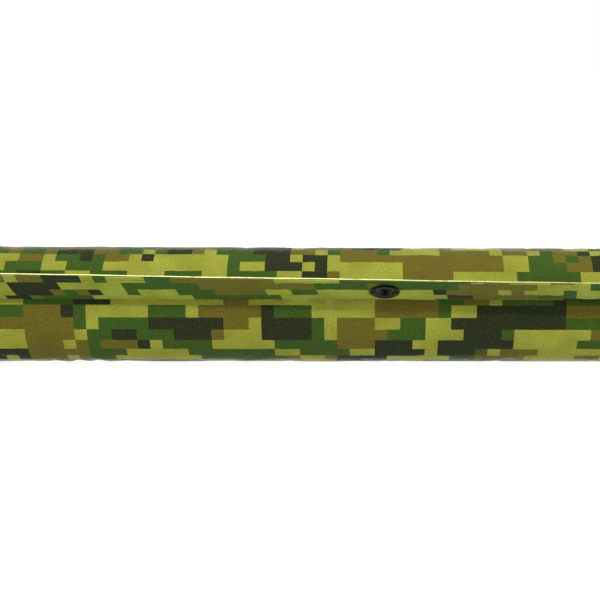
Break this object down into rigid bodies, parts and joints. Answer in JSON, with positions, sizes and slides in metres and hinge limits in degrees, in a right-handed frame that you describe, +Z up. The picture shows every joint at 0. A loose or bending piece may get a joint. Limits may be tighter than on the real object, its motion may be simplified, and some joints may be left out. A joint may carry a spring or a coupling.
{
  "type": "forearm guard",
  "caption": "Tubular padded forearm guard in camouflage cloth, folding open on a back hinge line and closed by a lengthwise flange with hook-and-loop tape and a press stud.",
  "frame": {"origin": "on the axis of the arm bore, at mid length", "axes": "+X along the arm towards the wrist, -Y towards the side with the closing flange, +Z up"},
  "size_m": [0.384, 0.0905, 0.071],
  "materials": {
    "camo_cloth": "woven polyester printed with a square-celled camouflage",
    "lining_cloth": "brushed knit",
    "binding_tape": "ribbed woven tape",
    "hook_side": "moulded hooks on woven tape",
    "loop_side": "napped loops on woven tape",
    "impact_foam": "closed-cell EVA foam",
    "comfort_foam": "soft open-cell foam",
    "plate": "polypropylene sheet",
    "snap_black": "glossy black enamel on brass",
    "snap_wire": "spring steel wire"
  },
  "bodies": {
    "lower_shell": {"cover_lower": "camo_cloth", "lining_lower": "lining_cloth", "comfort_foam_lower": "comfort_foam", "stiffener_lower": "plate", "impact_foam_lower": "impact_foam", "binding_elbow_lower": "binding_tape", "binding_wrist_lower": "binding_tape", "flange_lower": "camo_cloth", "loop_tape": "loop_side", "snap_cap": "snap_black", "snap_socket": "snap_black", "snap_spring": "snap_wire"},
    "upper_shell": {"cover_upper": "camo_cloth", "lining_upper": "lining_cloth", "comfort_foam_upper": "comfort_foam", "stiffener_upper": "plate", "impact_foam_upper": "impact_foam", "binding_elbow_upper": "binding_tape", "binding_wrist_upper": "binding_tape"},
    "closing_flange": {"flange_upper": "camo_cloth", "hook_tape": "hook_side", "snap_stud": "snap_black", "snap_post": "snap_black"}
  },
  "joints": [
    {"name": "opening", "type": "hinge", "parent": "lower_shell", "child": "upper_shell", "pos_m": [0, 0.02312, -0.02694], "axis": [-1, 0, 0], "range_deg": [0, 80]},
    {"name": "flange_peel", "type": "hinge", "parent": "upper_shell", "child": "closing_flange", "pos_m": [0, -0.03281, 0.01099], "axis": [-1, -0.0032, 0.001], "range_deg": [0, 50]}
  ]
}
